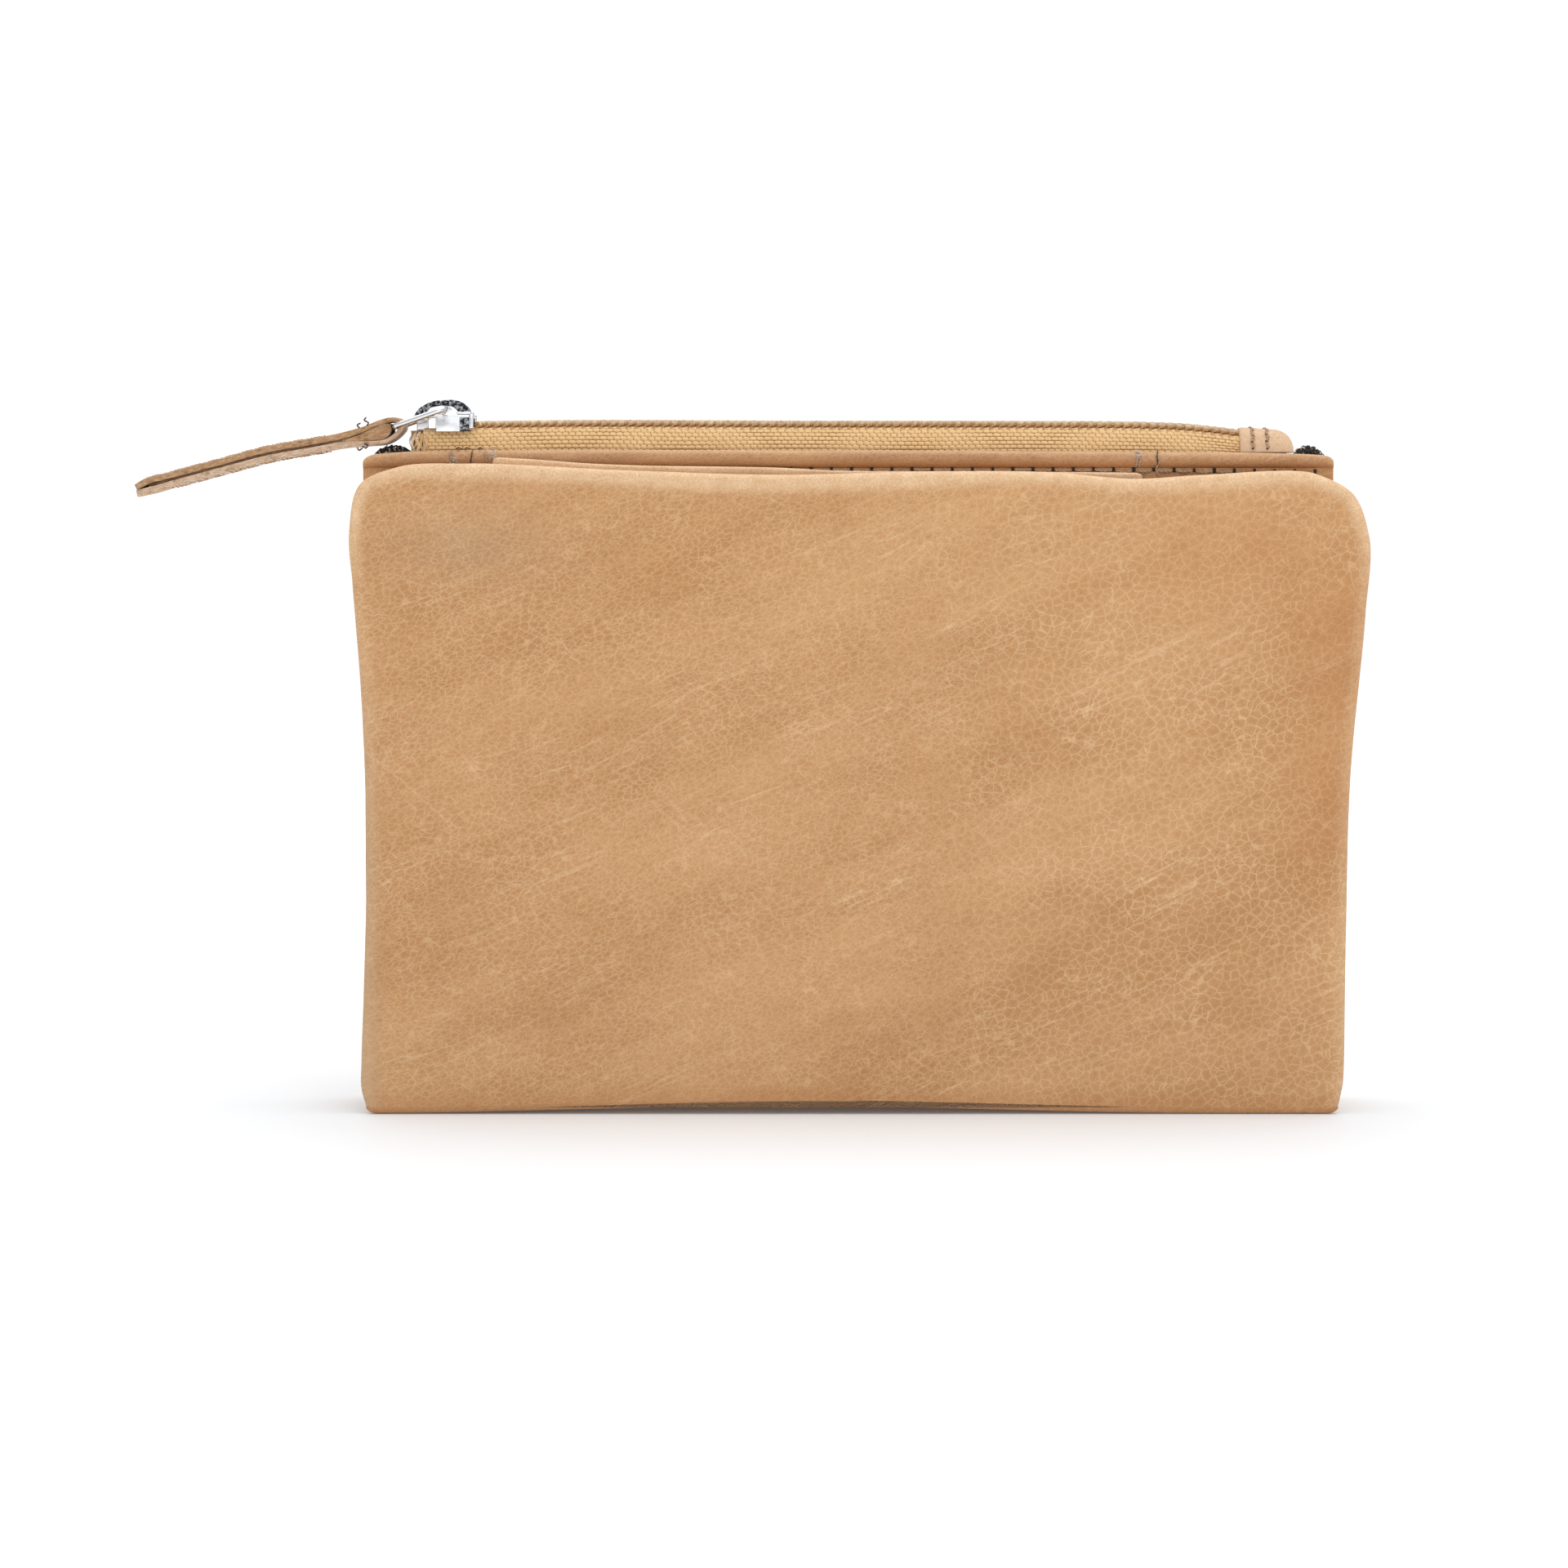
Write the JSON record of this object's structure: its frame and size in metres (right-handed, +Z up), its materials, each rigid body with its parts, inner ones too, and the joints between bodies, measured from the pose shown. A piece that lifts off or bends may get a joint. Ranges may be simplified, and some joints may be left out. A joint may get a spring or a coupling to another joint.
{
  "type": "zippered pouch",
  "caption": "Bifold leather pouch with a zipped compartment, a hinged front cover with card slots, a coil zip, and a slider with wire ring and leather strap.",
  "frame": {"origin": "centre of the spine's underside, on the surface that the pouch stands on", "axes": "+X along the zip, towards the end tab; +Y from the front cover to the back cover; +Z up"},
  "size_m": [0.2126, 0.022, 0.1229],
  "materials": {
    "cover_leather": "pebbled, satin, pale along the rolled edges",
    "pocket_leather": "fine grain, satin",
    "edge_leather": "smooth, rolled",
    "strap_leather": "raw cut edges, matte",
    "board": "matte",
    "lining_cloth": "twill, matte",
    "overlock_thread": "looped thread",
    "zip_tape": "woven, matte",
    "zip_coil": "satin nylon",
    "thread": "twisted thread",
    "slider_metal": "polished, with cast texture",
    "ring_wire": "polished"
  },
  "bodies": {
    "pouch": {"back_cover": "cover_leather", "back_cover_board": "board", "back_cover_lining": "lining_cloth", "cover_spine": "cover_leather", "edge_back_tacks": "thread", "end_tab_stitching": "thread", "front_edge_stitching": "thread", "front_edge_strip": "edge_leather", "gusset_left": "pocket_leather", "gusset_right": "pocket_leather", "lining_overlock_left": "overlock_thread", "lining_overlock_right": "overlock_thread", "pocket_back_wall": "pocket_leather", "pocket_bottom_fold": "pocket_leather", "pocket_front_wall": "pocket_leather", "pocket_lining_back": "lining_cloth", "pocket_lining_front": "lining_cloth", "pocket_side_stitching": "thread", "rear_edge_stitching": "thread", "rear_edge_strip": "edge_leather", "slip_pocket_panel": "pocket_leather", "spine_lining": "lining_cloth", "zip_coil_back": "zip_coil", "zip_coil_front": "zip_coil", "zip_end_tab": "edge_leather", "zip_tail": "zip_tape", "zip_tape_back": "zip_tape", "zip_tape_fold": "zip_tape", "zip_tape_front": "zip_tape"},
    "front_cover": {"front_cover": "cover_leather", "front_cover_board": "board", "front_cover_lining": "lining_cloth", "cover_slot_1": "pocket_leather", "cover_slot_2": "pocket_leather", "cover_slot_3": "pocket_leather", "cover_slot_4": "pocket_leather", "cover_slot_stitching": "thread"},
    "slider": {"slider_body": "slider_metal", "slider_crown": "slider_metal"},
    "pull_ring": {"pull_ring": "ring_wire"},
    "pull_strap": {"pull_strap": "strap_leather", "pull_strap_stitching": "thread"}
  },
  "joints": [
    {"name": "cover_hinge", "type": "hinge", "parent": "pouch", "child": "front_cover", "pos_m": [0, -0.00975, 0.0012], "axis": [1, 0, 0], "range_deg": [0, 90]},
    {"name": "zip_slide", "type": "slide", "parent": "pouch", "child": "slider", "axis": [1, 0, 0], "range_m": [0, 0.12]},
    {"name": "ring_hinge", "type": "hinge", "parent": "slider", "child": "pull_ring", "pos_m": [-0.0704, 0.00145, 0.1213], "axis": [0, 1, 0], "range_deg": [0, 157]},
    {"name": "strap_hinge", "type": "hinge", "parent": "pull_ring", "child": "pull_strap", "pos_m": [-0.079, 0.00145, 0.1183], "axis": [0, 1, 0], "range_deg": [0, 45]}
  ],
  "couplings": [
    {"joint": "ring_hinge", "follows": "zip_slide", "rad_per_m": 22.7}
  ]
}
